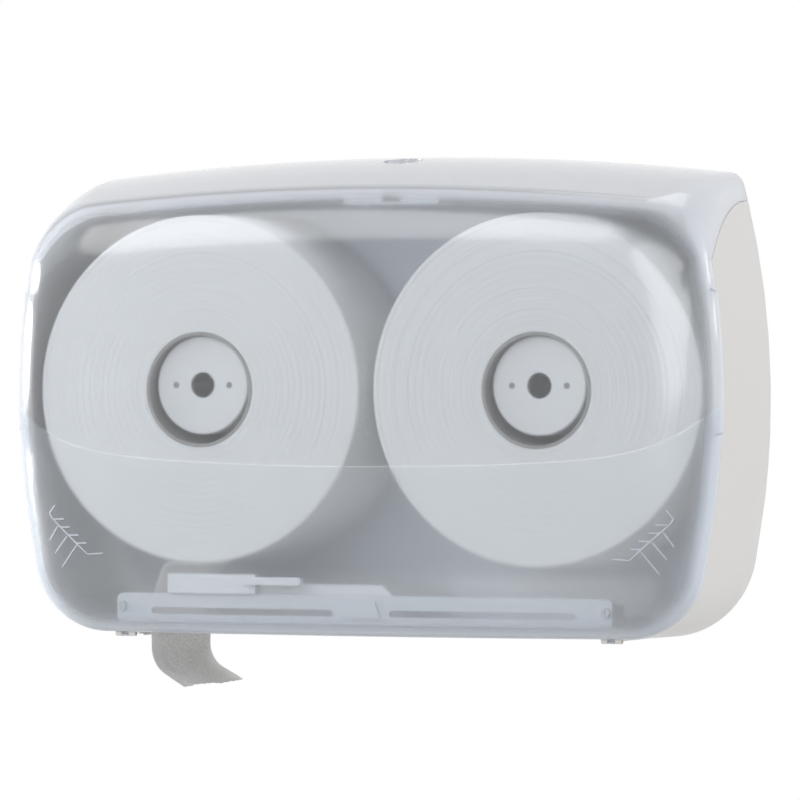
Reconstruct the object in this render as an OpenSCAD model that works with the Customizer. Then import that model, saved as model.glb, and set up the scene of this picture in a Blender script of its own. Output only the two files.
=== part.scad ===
// Jumbo toilet roll dispenser for two rolls side by side, with a frosted hinged cover.
// Millimetres. +X right, +Y into the wall, +Z up. The origin is on the wall plane, at the
// height of the roll axes, in the middle of the four wall screws. Depths count from the wall
// towards the room, so a point at depth d has y = -d.

/* [Rolls] */
// Outer diameter of a roll
roll_od = 230; // [200:1:260]
// Gap between the two rolls
roll_gap = 10; // [6:0.5:20]
// Width of the paper
paper_w = 95; // [85:0.5:105]
// Depth of the rear face of the rolls
roll_d = 8; // [7.5:0.25:8.5]
// Inner diameter of the cardboard core
core_id = 72; // [70:0.5:76]
// Wall thickness of the cardboard core
core_t = 2; // [1.2:0.2:3]

/* [Case] */
// Room beside the rolls, up to the widest place of the case
side_room = 13.8; // [12:0.2:24]
// How much each side draws in between the parting line and the wall
side_draw = 4.4; // [3:0.2:7]
// Depth of the cover in front of the parting line
cover_d = 21; // [20:0.5:27]
// Straight run of the cover in front of the parting line
skirt = 4; // [3.5:0.25:6]
// Room above the rolls, at the wall
top_room = 39.8; // [38:0.2:50]
// How much lower the top is at the front
top_fall = 19.8; // [15:0.2:22]
// Room below the rolls, at the front
low_room = 46.5; // [45:0.5:54]
// How much lower the underside is at the wall
low_fall = 2; // [1:0.25:4]
// Radius of the bulge of the sides
side_bulge_r = 540; // [450:10:800]
// Height of the widest place
side_bulge_z = -6; // [-15:1:5]
// Radius of the crowned top
top_crown_r = 2000; // [1600:50:4000]
// Radius of the almost flat underside
low_crown_r = 20000; // [12000:500:40000]
// Top corner radius at the wall
top_corner_r = 12; // [9:0.5:20]
// Top corner radius at the front
front_top_corner_r = 47; // [38:1:55]
// Lower corner radius at the wall
low_corner_r = 62; // [50:1:70]
// Lower corner radius at the front
front_low_corner_r = 52; // [45:1:60]
// Width of the elliptic rounding round the front face
face_round = 55; // [45:1:60]
// Wall thickness of the rear shell
wall_t = 2.5; // [2:0.25:3]
// Wall thickness of the cover
cover_t = 2.5; // [2:0.25:3]

/* [Parting line] */
// Gap between shell and cover along the parting line
part_gap = 0.5; // [0.4:0.1:1]
// Where the parting line runs round the upper corners: 0 at the corner's end, 1 at the grips
part_share = 0.15; // [0.1:0.05:0.4]
// Gap between the cover and the lip that it closes over
lip_gap = 0.5; // [0.4:0.1:0.8]
// Thickness of the lip and of the top rim
lip_t = 2.2; // [1.8:0.2:2.6]
// How far the lip reaches into the cover
lip_run = 3.5; // [3:0.25:3.5]
// Thickness of the back flange behind the cover's top
flange_d = 2; // [1.5:0.25:2.25]
// Drop of the inner top rim below the case's top
rim_drop = 12; // [10:0.5:14]
// Depth of the front edge of the inner top rim
rim_d = 60; // [55:1:66]
// Height of the downward lip on the front edge of the top rim
rim_lip = 9; // [7:0.5:10]

/* [Finger grips] */
// How far the grips at the sides of the cover stand proud
grip_proud = 1.2; // [0.6:0.1:1.5]
// Upper end of the grips
grip_top = 64; // [55:1:68]
// Lower end of the grips
grip_low = -27; // [-40:1:-20]

/* [Hubs] */
// How much smaller than the core the hub is
hub_play = 6.7; // [3:0.1:8]
// Gap between the hub and the core where the roll hangs
hang_gap = 0.35; // [0.25:0.05:0.5]
// How far the hub's face lies behind the roll's face
hub_recess = 6; // [3:0.5:10]
// Wall thickness of the hub
hub_t = 2.4; // [1.8:0.2:3.2]
// Thickness of the hub's face
hub_face_t = 2.5; // [2:0.25:3.5]
// Diameter of the hole in the hub's face
hub_hole = 17; // [14:0.5:20]
// Distance of the two rivets from the hub's axis
rivet_offset = 19.2; // [17:0.2:22]
// Diameter of the rivets
rivet_dia = 4; // [3:0.5:5]
// Diameter of the hub's bolt
bolt_dia = 8; // [6:0.5:9]
// Diameter of the rear flange of the hub
hub_flange = 92; // [84:1:110]

/* [Wall mounting] */
// Width of the wall screw pattern
screw_w = 300; // [280:5:320]
// Height of the wall screw pattern
screw_h = 150; // [120:5:160]
// Diameter of the wall screw holes
screw_hole = 5.5; // [4.5:0.25:6.5]

/* [Outlets and front rail] */
// How far the outlets reach past the roll axes
outlet_past = 44; // [40:0.5:46]
// Half the width of the bridge between the outlets
bridge_x = 8; // [6:0.5:12]
// Thickness of the tear bars
tear_t = 1.2; // [1:0.1:1.6]
// How far the teeth reach below the case
tear_drop = 2; // [1:0.25:3]
// Pitch of the teeth
tooth_pitch = 3; // [2.5:0.25:4]
// How far the front rail reaches past the outlets
rail_past = 12; // [10:0.5:14]
// Height of the rail's lower edge above the case's lower edge
rail_z = 8; // [7.5:0.25:9]
// Height of the front rail
rail_h = 19; // [18:0.25:23]
// Thickness of the front rail
rail_t = 3; // [2.5:0.25:3.5]
// Height of the slots in the front rail
slot_h = 4.5; // [4:0.5:6]
// Distance of the slots from the rail's middle
slot_in = 20; // [18:0.5:30]
// Distance of the slots from the rail's ends
slot_out = 25; // [20:0.5:35]

/* [Selector] */
// How much shorter the selector's plate is than the distance from the middle to a tear edge
plate_short = 16; // [14:0.5:22]
// How far the plate reaches past the middle at its left stop
plate_past = 20; // [16:0.5:24]
// Thickness of the selector's plate
plate_t = 2; // [1.6:0.1:2.4]
// Distance of the carriage from the left tear edge
carriage_in = 26; // [20:0.5:30]
// Length of the carriage
carriage_w = 63; // [56:1:68]
// Height of the carriage
carriage_h = 12.7; // [11:0.1:13]
// Depth of the carriage, front to back
carriage_d = 7; // [6:0.25:8]
// Running gap of the selector
run_gap = 0.3; // [0.25:0.05:0.4]
// Height of the upright along the plate's front above the rail
upright_h = 7; // [4:0.25:8]
// Length of the finger tab
tab_w = 43; // [36:1:46]
// Height of the finger tab
tab_h = 5; // [4:0.25:6]
// Reach of the finger tab in front of the carriage
tab_reach = 5; // [3:0.25:5]

/* [Hinge] */
// Outer diameter of the hinge knuckles
knuckle_dia = 4.6; // [4.4:0.1:5.2]
// Diameter of the hinge pins
pin_dia = 2.2; // [1.8:0.1:2.4]
// Distance of the hinges from the ends of the outlets
hinge_past = 9; // [8.5:0.5:16]
// Length of one hinge over its three knuckles
hinge_w = 14; // [12:0.5:16]
// Side gap between two knuckles
knuckle_gap = 0.4; // [0.3:0.05:0.6]

/* [Lock] */
// Depth of the lock's axis
lock_d = 40; // [38:0.5:42]
// Diameter of the lock's housing
lock_dia = 18; // [16:0.5:20]
// Diameter of the lock's turning barrel
barrel_dia = 12; // [10:0.5:13]
// Diameter of the recess in the cover's top that the lock sits in
recess_dia = 27; // [26:0.5:29]
// Depth of the recess at the lock's axis
recess_deep = 4.2; // [4:0.1:4.8]
// Length of the T-shaped cam
cam_w = 28; // [24:0.5:30]
// Width of the cam
cam_t = 8; // [6:0.5:9]
// Half the width of the strike box
strike_x = 34; // [30:0.5:38]

/* [Paper tail] */
// Length of the slanting run between the roll and the hanging tail
slant = 18.4; // [14:0.2:20]
// Thickness of the web and the tail
web_t = 0.6; // [0.5:0.05:0.8]
// How far below the case the tail starts to curl
curl_drop = 9.5; // [6:0.5:20]
// Radius of the curl
curl_r = 20; // [14:1:30]
// Straight end of the tail after the curl
tail_end = 16; // [8:1:24]

/* [Hidden] */
$fn = 72;

// How far a cutting body runs past what it cuts
past = 5;

// Counts of the outline's points, along each of its stretches
n_top = 12;
n_corner = 18;
n_low_corner = 16;
n_low = 8;
// Rows of shell and cover from the wall to the parting depth, and of the cover's rounding
n_wall = 6;
n_round = 9;
// Rows of the inside of the shell's lip and top rim
n_rim = 4;
// Smallest corner radius of an inset outline, and how fast the corners shrink with the inset
corner_min = 3;
corner_shrink = 0.6;
// How fast the levels along the sides draw together with the inset
level_shrink = 170;
// Width of the ramp at the ends of the grips
grip_ramp = 1.4;

function mix(a, b, t) = a + (b - a) * t;
function clamp01(t) = min(max(t, 0), 1);
function smooth(t) = let (c = clamp01(t)) c * c * (3 - 2 * c);

// ---- Sizes of the case, round the two rolls ----
roll_r = roll_od / 2;
roll_x = roll_r + roll_gap / 2;
roll_front = roll_d + paper_w;
case_half = roll_x + roll_r + side_room;
wall_half = case_half - side_draw;
part_d = roll_front;
case_d = part_d + cover_d;
top_h = roll_r + top_room;
front_top_h = top_h - top_fall;
front_low_h = roll_r + low_room;
low_h = front_low_h + low_fall;

// ---- Outline of the case at a depth, with an inset ----
function depth_share(d) = min(max(d, 0), part_d) / part_d;
function half_w(d) = mix(wall_half, case_half, depth_share(d));
function top_z(d) = mix(top_h, front_top_h, pow(depth_share(d), 2));
function low_z(d) = -mix(low_h, front_low_h, depth_share(d));
function top_r(d) = mix(top_corner_r, front_top_corner_r, pow(depth_share(d), 2));
function low_r(d) = mix(low_corner_r, front_low_corner_r, depth_share(d));

// Centre of the fillet of radius r that touches two arcs from inside
function fillet_centre(c1, r1, c2, r2, r, side) =
    let (v = c2 - c1, l = norm(v), a = r1 - r, b = r2 - r,
         x = (l * l + a * a - b * b) / (2 * l), h = sqrt(max(a * a - x * x, 0)))
    c1 + x * v / l + side * h * [-v.y, v.x] / l;
function on_arc(c, r, a) = c + r * [cos(a), sin(a)];
function heading(v) = atan2(v.y, v.x);

// Heights along the side at which the outline has points: the ends of the grips and between;
// three more lie above them, for the parting line that follows the upper corner's end
side_levels = [grip_top + grip_ramp, grip_top, mix(grip_top, grip_low, 0.33),
    mix(grip_top, grip_low, 0.67), grip_low, grip_low - grip_ramp, grip_low - 22, grip_low - 44];
n_side = len(side_levels) + 4;
i_side = n_top + n_corner;
// Foot of the shell's lip, and the shell's outer edge, on the parting line round the corners
i_foot = i_side + 1;
i_step = i_side + 2;
i_low = i_side + n_side;
half_count = i_low + n_low_corner + n_low + 1;
loop_count = 2 * half_count - 2;

// Right half of the outline, from the middle of the top round to the middle of the underside
function half_outline(d, e) =
    let (rs = side_bulge_r - e, rt = top_crown_r - e, rb = low_crown_r - e,
         ft = max(top_r(d) - corner_shrink * e, corner_min),
         fb = max(low_r(d) - corner_shrink * e, corner_min),
         cs = [half_w(d) - side_bulge_r, side_bulge_z],
         ct = [0, top_z(d) - top_crown_r], cb = [0, low_z(d) + low_crown_r],
         mt = fillet_centre(cs, rs, ct, rt, ft, 1), mb = fillet_centre(cs, rs, cb, rb, fb, -1),
         at = heading(mt - ct), a1 = heading(mt - cs), a0 = heading(mb - cs),
         ab = heading(mb - cb), k = 1 - e / level_shrink,
         zt = side_levels[0] * k, zp = mix(on_arc(cs, rs, a1).y, zt, part_share))
    concat(
        [for (i = [0:n_top - 1]) on_arc(ct, rt, mix(90, at, i / n_top))],
        [for (i = [0:n_corner - 1]) on_arc(mt, ft, mix(at, a1, i / n_corner))],
        [on_arc(cs, rs, a1)],
        [for (z = concat([zp + part_gap / 2, zp, mix(zp, zt, 0.5)], side_levels * k))
            on_arc(cs, rs, asin((z - side_bulge_z) / rs))],
        [for (i = [0:n_low_corner - 1]) on_arc(mb, fb, mix(a0, ab, i / n_low_corner))],
        [for (i = [0:n_low]) on_arc(cb, rb, mix(ab, -90, i / n_low))]);

// Point j of the loop with its depth and inset, the left half mirrored from the right
function half_index(j) = j < half_count ? j : loop_count - j;
function on_case(j, d, e) =
    let (p = half_outline(d, e)[half_index(j)])
    [j < half_count ? p.x : -p.x, -d, p.y];

// A closed solid through rings: profile(i) gives [depth, inset] pairs for point i of the
// outline, and its ring front_row is closed by a face, and so is the next one
module loft(profiles, front_row) {
    rows = len(profiles[0]);
    points = [for (r = [0:rows - 1], j = [0:loop_count - 1])
        let (q = profiles[half_index(j)][r]) on_case(j, q[0], q[1])];
    function at(r, j) = r * loop_count + j % loop_count;
    strips = [for (r = [0:rows - 1], j = [0:loop_count - 1]) if (r != front_row)
        each [[at(r, j), at(r, j + 1), at((r + 1) % rows, j + 1)],
              [at(r, j), at((r + 1) % rows, j + 1), at((r + 1) % rows, j)]]];
    polyhedron(points = points, faces = concat(strips,
        [[for (j = [0:loop_count - 1]) at(front_row, j)],
         [for (j = [loop_count - 1:-1:0]) at((front_row + 1) % rows, j)]]), convexity = 8);
}

// ---- Parting line ----
skirt_d = part_d + skirt;
// Depths of the rows that shell and cover share
back_d = flange_d + 0.3;
edge_d = part_d - part_gap / 2;
wall_rows = [for (k = [0:n_wall]) mix(back_d, edge_d, k / n_wall)];
function is_grip(i) = i >= i_side + 5 && i <= i_side + 8;

// Degrees along the rounding at which the side grips have faded out, and over how many they fade
fade_end = 70;
fade_over = 40;

// How steeply the top and its corners fall at the parting depth; the rounding carries that on
function fall_rate(i) =
    let (a = 90 * (1 - clamp01((i - n_top) / n_corner)))
    2 / part_d * (top_fall * sin(a) + (front_top_corner_r - top_corner_r) * (sin(a) + cos(a) - 1));
function carry_on(i, d, a) = fall_rate(i) * max(d - part_d, 0) * pow(cos(a), 2);

cover_rows = concat([flange_d + part_gap], [for (k = [1:n_wall]) wall_rows[k]], [part_d + part_gap]);
function cover_profile(i) =
    let (g = is_grip(i) ? grip_proud : 0, n = len(cover_rows) - 1)
    concat(
        [for (k = [0:n]) [cover_rows[k], carry_on(i, cover_rows[k], 0) - g]],
        [for (k = [0:n_round])
            let (a = 90 * k / n_round, f = smooth((fade_end - a) / fade_over),
                d = mix(skirt_d, case_d, sin(a)))
            [d, face_round * (1 - cos(a)) + carry_on(i, d, a) - g * f]],
        [for (k = [n_round:-1:0])
            let (a = 90 * k / n_round, f = smooth((fade_end - a) / fade_over),
                d = mix(skirt_d, case_d - cover_t, sin(a)))
            [d, mix(face_round, cover_t, cos(a)) + carry_on(i, d, a) - g * f]],
        [for (k = [n:-1:0]) [cover_rows[k], cover_t + carry_on(i, cover_rows[k], 0) - g]]);

// What lies behind and below the parting line, with its gap; its corners lie beside the rows
part_rise = 1.4 * part_gap;
part_aside = 0.4;
function part_z(d) = half_outline(d, 0)[i_step].y + part_rise;
module behind_parting() across(-case_half - past, case_half + past) polygon(concat(
    [[past, -low_h - past], [-part_d - part_gap / 2, -low_h - past],
        [-part_d - part_gap / 2, part_z(part_d)]],
    [for (k = [n_wall:-1:1]) let (d = wall_rows[k] - part_aside) [-d, part_z(d)]], [[past, part_z(0)]]));

// The shell's wall, its joggled lip inside the cover, and the lower rim under the cover's top
lip_in = cover_t + lip_gap;
lip_edge_t = 3;
corner_play = 1.1;
joggle = 4;
gusset = 2;
function shell_profile(i) =
    let (w = 1 - smooth((i - n_top) / (i_foot - n_top)), covered = i <= i_step,
         e = mix(lip_in + (covered ? corner_play : 0), rim_drop, w),
         f = mix(part_d + lip_run, rim_d, w), g = (f - back_d) / (part_d + lip_run - back_d),
         tip = e + mix(lip_t, rim_lip, w), inner = e + lip_t,
         s = covered ? flange_d : edge_d)
    concat([[0, 0], [flange_d, 0]],
    [for (d = wall_rows) [mix(back_d, d, g), i < i_step ? e : 0]],
    [[mix(back_d, edge_d + 0.3, g), e], [f, e], [f, tip], [f - lip_edge_t, tip]],
    [for (k = [0:n_rim]) [mix(f - lip_edge_t - 1, max(s - joggle, 1.5 * joggle), k / n_rim), inner]],
    [[max(s - 2 * joggle, joggle), covered ? inner + gusset / 4 : wall_t],
     [wall_t, covered ? inner + gusset : wall_t]]);

// ---- Places shared by several pieces ----
core_r = core_id / 2;
core_out = core_r + core_t;
hub_r = core_r - hub_play / 2;
hub_z = core_r - hub_r - hang_gap;
hub_front = roll_front - hub_recess;
floor_z = -front_low_h;
fit = 0.1;
seat = 0.3;

// Outlets, and the rail above their front
outlet_x = roll_x + outlet_past;
rail_x = outlet_x + rail_past;
rail_low = floor_z + rail_z;
rail_top = rail_low + rail_h;
rail_d = part_d + lip_run + 1.1;
ear_x = rail_x - 4;
ear_z = rail_low + 10.5;
ear_half = 4;
rail_screw = 3;
rail_screw_reach = 11;

// The selector, at its left stop; from there it travels until its plate meets the right tear edge
plate_w = outlet_x - plate_short;
plate_x = plate_past - plate_w;
carriage_x = -outlet_x + carriage_in;
carriage_z = rail_top + run_gap;
plate_z = rail_top - plate_t;
carriage_gap = 3.5;
carriage_back = roll_front + carriage_gap;
tab_lap = 8;
tab_x = carriage_x + carriage_w - tab_lap;

// Rear guide on the back panel, with a groove for the plate's rear edge
guide_d = roll_d - 0.5;
guide_low = plate_z - 5;
guide_high = plate_z + plate_t + 12;
guide_left = -outlet_x - 1;
guide_right = outlet_x + 4;
groove_d = 4.5;
guide_screw_in = 14;
guide_screw_x = [-outlet_x + guide_screw_in, 0, outlet_x - guide_screw_in];
guide_screw_z = mix(plate_z + plate_t, guide_high, 0.5);

// Hinge axis on the outer edge of the parting line
hinge_d = part_d + 0.5;
hinge_x = outlet_x + hinge_past;
hinge_z = floor_z;
knuckle_w = (hinge_w - 2 * knuckle_gap) / 3;
knuckle_r = knuckle_dia / 2;

// Tear bars, on ribs at the outer ends of the outlets
outlet_front = roll_front + 2 * seat;
tear_short = 7;
tear_front = part_d - tear_short;
tear_back = 12;
rib_t = 2.5;
rib_h = 13;
tear_screw_in = 18;
tear_screw_d = [tear_back + tear_screw_in, tear_front - tear_screw_in];
tear_screw_z = floor_z + 8;
tear_screw = 3;

// Lock pieces, from the recess in the cover down to the cam
pad_z = top_z(lock_d) - recess_deep;
pad_r = recess_dia / 2 + cover_t;
pad_t = 2.4;
pad_low = pad_z - pad_t;
nut_t = 2.3;
body_reach = 10;
body_low = top_z(lock_d) - body_reach;
rim_z = top_z(lock_d) - rim_drop;
cam_thick = 3;
cam_below = 8;
cam_z = rim_z - lip_t - cam_below;
slot_half = cam_t / 2 + 3;
strike_back = 22;
strike_t = 2.5;
strike_h = 11.5;
strike_top = top_z(rim_d) - rim_drop - lip_t - 2 * seat;
strike_low = strike_top - strike_h;
strike_screw_x = strike_x - 5;
strike_screw_d = 34;

bumper_out = 56;
bumper_x = roll_x + bumper_out;
bumper_d = 35;
bumper_r = 2.75;
bumper_h = 9;

// Hub: its web with the bolt through it, and how far the rivets' and the face's holes reach back
web_back = 20;
web_front = 23.5;
bolt_cut = web_back + 1;
washer_t = 1.5;
face_depth = 9;
post_wall = 2;
boss_wall = 5;
post_reach = 16;
rivet_reach = 14;

// ---- Helpers ----
// Extrudes a shape drawn in X and Z from depth d0 to depth d1
module from_wall(d0, d1) translate([0, -d0, 0]) rotate([90, 0, 0]) linear_extrude(d1 - d0) children();
// Extrudes a shape drawn in -depth and Z from x0 to x1
module across(x0, x1) translate([x0, 0, 0]) rotate([90, 0, 90]) linear_extrude(x1 - x0) children();
// A box between two depths, given its ranges in X and Z
module block(x0, x1, d0, d1, z0, z1)
    translate([x0, -d1, z0]) cube([x1 - x0, d1 - d0, z1 - z0]);
module rod_y(x, z, r, d0, d1) from_wall(d0, d1) translate([x, z]) circle(r);
module rod_z(x, d, r, z0, z1) translate([x, -d, z0]) cylinder(r = r, h = z1 - z0);
module rod_x(d, z, r, x0, x1) across(x0, x1) translate([-d, z]) circle(r);
// Pan head screw along the depth, driven from the front
module screw_y(x, z, dia, head_d, len) {
    rod_y(x, z, dia / 2, head_d - len, head_d);
    difference() {
        rod_y(x, z, dia, head_d, head_d + 0.6 * dia);
        for (a = [0, 90]) translate([x, 0, z]) rotate([0, a, 0])
            block(-0.7 * dia, 0.7 * dia, head_d + 0.3 * dia, head_d + dia, -0.15 * dia, 0.15 * dia);
    }
}

// ---- Rear shell ----
module slot_round(x0, x1, z, h) {
    translate([x0 + h / 2, z - h / 2]) square([x1 - x0 - h, h]);
    for (x = [x0 + h / 2, x1 - h / 2]) translate([x, z]) circle(h / 2);
}

module shell_additions() {
    // Bosses that the hubs are bolted to
    for (s = [-1, 1]) rod_y(s * roll_x, hub_z, bolt_dia / 2 + boss_wall, wall_t / 2, web_back);
    // Pads round the wall screws
    for (s = [-1, 1], v = [-1, 1])
        rod_y(s * screw_w / 2, v * screw_h / 2, screw_hole / 2 + boss_wall, wall_t / 2, wall_t + washer_t);
    for (s = [-1, 1]) {
        // Posts behind the ears of the front rail
        block(s * ear_x - ear_half, s * ear_x + ear_half, part_d - 12, part_d - 4, floor_z + 1, ear_z + 5);
        block(s * ear_x - ear_half, s * ear_x + ear_half, part_d - 12, rail_d - seat,
            floor_z + lip_in + 0.4, ear_z + 5);
        // Ribs that carry the tear bars
        rib_x = s > 0 ? outlet_x + tear_t : -outlet_x - tear_t - rib_t;
        block(rib_x, rib_x + rib_t, tear_back, tear_front, floor_z - 1, floor_z + rib_h);
    }
    // Sill that closes the outlets towards the cover, under the rail
    block(-outlet_x - 4, outlet_x + 4, outlet_front, part_d + lip_run, floor_z + lip_in + 1, rail_low);
    // Outer knuckles of the hinges
    for (s = [-1, 1], v = [-1, 1]) {
        x = s * hinge_x + v * (knuckle_w + knuckle_gap);
        rod_x(hinge_d, hinge_z, knuckle_r, x - knuckle_w / 2, x + knuckle_w / 2);
    }
}

module rear_shell() color([0.87, 0.86, 0.85]) difference() {
    union() {
        difference() {
            loft([for (i = [0:half_count - 1]) shell_profile(i)], n_wall + n_rim + 9);
            // Outlets, from the bridge to the tear edges
            for (s = [-1, 1])
                block(s > 0 ? bridge_x : -outlet_x - tear_t, s > 0 ? outlet_x + tear_t : -bridge_x,
                    roll_d - 1, outlet_front, -low_h - 5, floor_z + 7);
            // Room for the cover's knuckles
            for (s = [-1, 1])
                block(s * hinge_x - knuckle_w / 2 - knuckle_gap, s * hinge_x + knuckle_w / 2 + knuckle_gap,
                    hinge_d - knuckle_r - 0.5, rail_d, hinge_z - 5, hinge_z + knuckle_r + 0.5);
            // Slot and window for the lock's stem and its strike box
            block(-slot_half, slot_half, lock_d - cam_t - 4, rim_d + 5, strike_low - 5, top_h);
            block(-strike_x - seat, strike_x + seat, strike_back - seat, rim_d + 5,
                strike_low - 5, strike_top + seat);
        }
        shell_additions();
    }
    for (s = [-1, 1], v = [-1, 1])
        rod_y(s * screw_w / 2, v * screw_h / 2, screw_hole / 2, -1, wall_t + 3);
    for (s = [-1, 1]) {
        rod_y(s * roll_x, hub_z, bolt_dia / 2 + fit, 2 * wall_t, bolt_cut);
        rod_y(s * ear_x, ear_z, rail_screw / 2 + fit, rail_d - rail_screw_reach, rail_d);
        rod_x(hinge_d, hinge_z, pin_dia / 2 + fit, s * hinge_x - hinge_w / 2 - 1, s * hinge_x + hinge_w / 2 + 1);
        for (d = tear_screw_d) rod_x(d, tear_screw_z, tear_screw / 2 + fit,
            s * (outlet_x + rib_t) - 5, s * (outlet_x + rib_t) + 5);
        rod_z(s * strike_screw_x, strike_screw_d, rail_screw / 2 + fit, strike_top - 1, rim_z + 5);
        rod_z(s * bumper_x, bumper_d, bumper_r / 2 + fit, bumper_top(0) - 1, bumper_top(0) + 8);
    }
    for (x = guide_screw_x) rod_y(x, guide_screw_z, rail_screw / 2 + fit, 0.8, wall_t + 1);
}

// Lower face of the top rim at a place
function rim_under(x, d) =
    top_z(d) - top_crown_r + sqrt(pow(top_crown_r - rim_drop - lip_t, 2) - x * x);
function bumper_top(gap) = rim_under(bumper_x + bumper_r, bumper_d + bumper_r) - gap;

// ---- Hinge pins, rail and guide ----
module hinge_pin(s) color([0.62, 0.63, 0.65])
    rod_x(hinge_d, hinge_z, pin_dia / 2, s * hinge_x - hinge_w / 2 + 0.2, s * hinge_x + hinge_w / 2 - 0.2);

module outlet_rail() color([0.85, 0.86, 0.87]) difference() {
    union() {
        from_wall(rail_d, rail_d + rail_t) hull() for (s = [-1, 1], v = [0, 1])
            translate([s * (rail_x - 4), v > 0 ? rail_top - 4 : rail_low + 4]) circle(4, $fn = 32);
        // Stiffening block in the middle, wider at its foot
        from_wall(rail_d, rail_d + rail_t + 1.5) polygon([[-14, rail_low + 4], [14, rail_low + 4],
            [10, rail_top - 4], [-10, rail_top - 4]]);
        // Raised rings round the screws
        for (s = [-1, 1]) rod_y(s * ear_x, ear_z, 3.6, rail_d, rail_d + rail_t + 0.8);
    }
    for (s = [-1, 1]) {
        rod_y(s * ear_x, ear_z, rail_screw / 2 + fit, rail_d - 1, rail_d + rail_t + 2);
        from_wall(rail_d - 1, rail_d + rail_t + 1)
            slot_round(s > 0 ? slot_in : slot_out - rail_x, s > 0 ? rail_x - slot_out : -slot_in,
                rail_low + 7.5, slot_h);
    }
}

module rail_screws() color([0.6, 0.61, 0.63])
    for (s = [-1, 1]) screw_y(s * ear_x, ear_z, rail_screw, rail_d + rail_t + 0.8, 13);

module rear_guide() color([0.88, 0.88, 0.88]) difference() {
    across(guide_left, guide_right) polygon([[-wall_t, guide_low], [-wall_t, guide_high],
        [-guide_d + 1.5, guide_high], [-guide_d, guide_high - 1.5],
        [-guide_d, plate_z + plate_t + run_gap], [-groove_d, plate_z + plate_t + run_gap],
        [-groove_d, plate_z - run_gap], [-guide_d, plate_z - run_gap], [-guide_d, guide_low + 1],
        [-guide_d + 1, guide_low]]);
    for (x = guide_screw_x) rod_y(x, guide_screw_z, rail_screw / 2 + fit, 1, 10);
    for (x = guide_screw_x) rod_y(x, guide_screw_z, rail_screw + 0.4, guide_d - 2.2, guide_d + 1);
}

module guide_screws() color([0.6, 0.61, 0.63])
    for (x = guide_screw_x) screw_y(x, guide_screw_z, rail_screw, guide_d - 2.2, 4.2);

// ---- Tear bars ----
module tear_bar(s) color([0.7, 0.71, 0.73]) difference() {
    teeth = floor((tear_front - tear_back - 4) / tooth_pitch);
    root = floor_z - tear_drop + tooth_pitch * 0.6;
    across(s > 0 ? outlet_x : -outlet_x - tear_t, s > 0 ? outlet_x + tear_t : -outlet_x)
        polygon(concat([[-tear_back - 1, floor_z + rib_h - 1], [-tear_front + 1, floor_z + rib_h - 1],
            [-tear_front + 1, root]],
            [for (i = [0:teeth - 1]) each
                [[-tear_front + 1.5 + (i + 0.5) * tooth_pitch, floor_z - tear_drop],
                 [-tear_front + 1.5 + (i + 1) * tooth_pitch, root]]],
            [[-tear_back - 1, root]]));
    for (d = tear_screw_d) rod_x(d, tear_screw_z, tear_screw / 2 + fit,
        s * outlet_x - 3, s * outlet_x + 3);
}

module tear_bar_screws() color([0.6, 0.61, 0.63]) for (s = [-1, 1], d = tear_screw_d)
    mirror([s < 0 ? 1 : 0, 0, 0]) {
        rod_x(d, tear_screw_z, tear_screw / 2, outlet_x - 0.5, outlet_x + tear_t + rib_t - 0.5);
        rod_x(d, tear_screw_z, tear_screw, outlet_x - 1.8, outlet_x);
    }

// ---- Hubs ----
module hub_drum(s) color([0.9, 0.9, 0.9]) translate([s * roll_x, 0, hub_z]) difference() {
    union() {
        // Rear flange, drum wall and the web that the bolt holds
        rod_y(0, 0, hub_flange / 2, wall_t + seat, wall_t + seat + 2.4);
        rod_y(0, 0, hub_r, wall_t + seat, hub_front - hub_face_t - fit);
    }
    rod_y(0, 0, hub_r - hub_t, wall_t, web_back + 0.5);
    rod_y(0, 0, hub_r - hub_t, web_front, hub_front);
    rod_y(0, 0, bolt_dia / 2 + 0.25, web_back, web_front + 0.5);
}

module hub_posts(s) color([0.9, 0.9, 0.9]) translate([s * roll_x, 0, hub_z])
    for (v = [-1, 1]) difference() {
        rod_y(v * rivet_offset, 0, rivet_dia / 2 + post_wall, web_front - 0.5, hub_front - hub_face_t - fit);
        rod_y(v * rivet_offset, 0, rivet_dia / 2 + fit, hub_front - post_reach, hub_front);
    }

module hub_face(s) color([0.92, 0.92, 0.92]) translate([s * roll_x, 0, hub_z]) difference() {
    union() {
        rod_y(0, 0, hub_r, hub_front - hub_face_t, hub_front - 0.8);
        translate([0, -hub_front + 0.8, 0]) rotate([90, 0, 0]) cylinder(r1 = hub_r, r2 = hub_r - 0.8, h = 0.8);
        // Spigot inside the drum
        from_wall(hub_front - hub_face_t - 3, hub_front - hub_face_t) difference() {
            circle(hub_r - hub_t - fit);
            circle(hub_r - hub_t - fit - 1.6);
        }
    }
    rod_y(0, 0, hub_hole / 2, hub_front - face_depth, hub_front + 1);
    for (v = [-1, 1]) rod_y(v * rivet_offset, 0, rivet_dia / 2 + fit, hub_front - face_depth, hub_front + 1);
}

module hub_rivets(s) color([0.45, 0.46, 0.48]) translate([s * roll_x, 0, hub_z]) for (v = [-1, 1]) {
    rod_y(v * rivet_offset, 0, rivet_dia / 2, hub_front - rivet_reach, hub_front - 0.4);
}

module hub_bolt(s) color([0.35, 0.36, 0.38]) translate([s * roll_x, 0, hub_z]) {
    rod_y(0, 0, bolt_dia / 2, 8, web_front);
    rod_y(0, 0, bolt_dia * 0.95, web_front, web_front + washer_t);
    from_wall(web_front + washer_t, web_front + washer_t + bolt_dia * 0.65) circle(bolt_dia * 0.8, $fn = 6);
}

// ---- Rolls ----
module core(s) color([0.66, 0.56, 0.44]) translate([s * roll_x, 0, 0])
    from_wall(roll_d, roll_front) difference() { circle(core_out); circle(core_r); }

module paper_roll(s) color([0.95, 0.95, 0.95]) translate([s * roll_x, 0, 0])
    from_wall(roll_d, roll_front) difference() { circle(roll_r, $fn = 180); circle(core_out); }

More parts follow.
